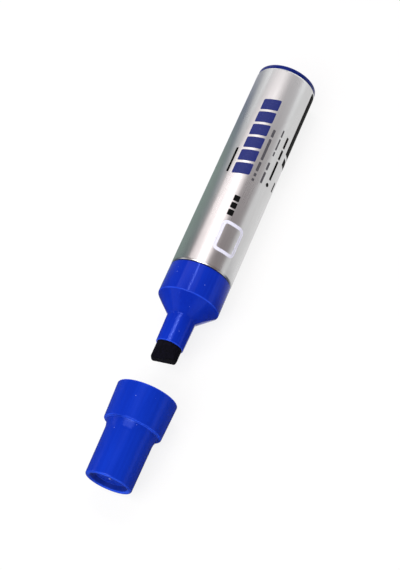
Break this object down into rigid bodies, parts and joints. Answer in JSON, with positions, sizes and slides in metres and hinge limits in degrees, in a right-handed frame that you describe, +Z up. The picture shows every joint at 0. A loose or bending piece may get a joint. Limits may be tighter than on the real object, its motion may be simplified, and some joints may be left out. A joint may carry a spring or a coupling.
{
  "type": "permanent marker",
  "caption": "Jumbo permanent marker with aluminium barrel, moulded nib holder, felt chisel nib and a push-on sealing cap that slides on and off along its axis",
  "frame": {"origin": "middle of the footprint of the lying marker and its drawn-off cap, on the surface that the barrel rests on", "axes": "+Y runs along the marker from the cap's closed end to the rear plug, +Z is up, +X is to the right when the nib points towards the viewer's feet"},
  "size_m": [0.025, 0.1846, 0.025],
  "materials": {
    "barrel_aluminium": "satin, lightly brushed along its length",
    "moulded_blue": "glossy injection moulding",
    "cap_blue": "glossy injection moulding",
    "felt": "dense pressed felt, soaked with ink",
    "fibre": "bundled polyester fibre, soaked with ink",
    "film": "thin clear film",
    "liner": "natural soft plastic"
  },
  "bodies": {
    "marker": {"barrel": "barrel_aluminium", "rear_plug": "moulded_blue", "nib_holder": "moulded_blue", "chisel_nib": "felt", "ink_reservoir": "fibre", "reservoir_wrap": "film"},
    "cap": {"cap_shell": "cap_blue", "cap_liner": "liner"}
  },
  "joints": [
    {"name": "cap_slide", "type": "slide", "parent": "marker", "child": "cap", "axis": [0, 1, 0], "range_m": [0, 0.03827]}
  ]
}
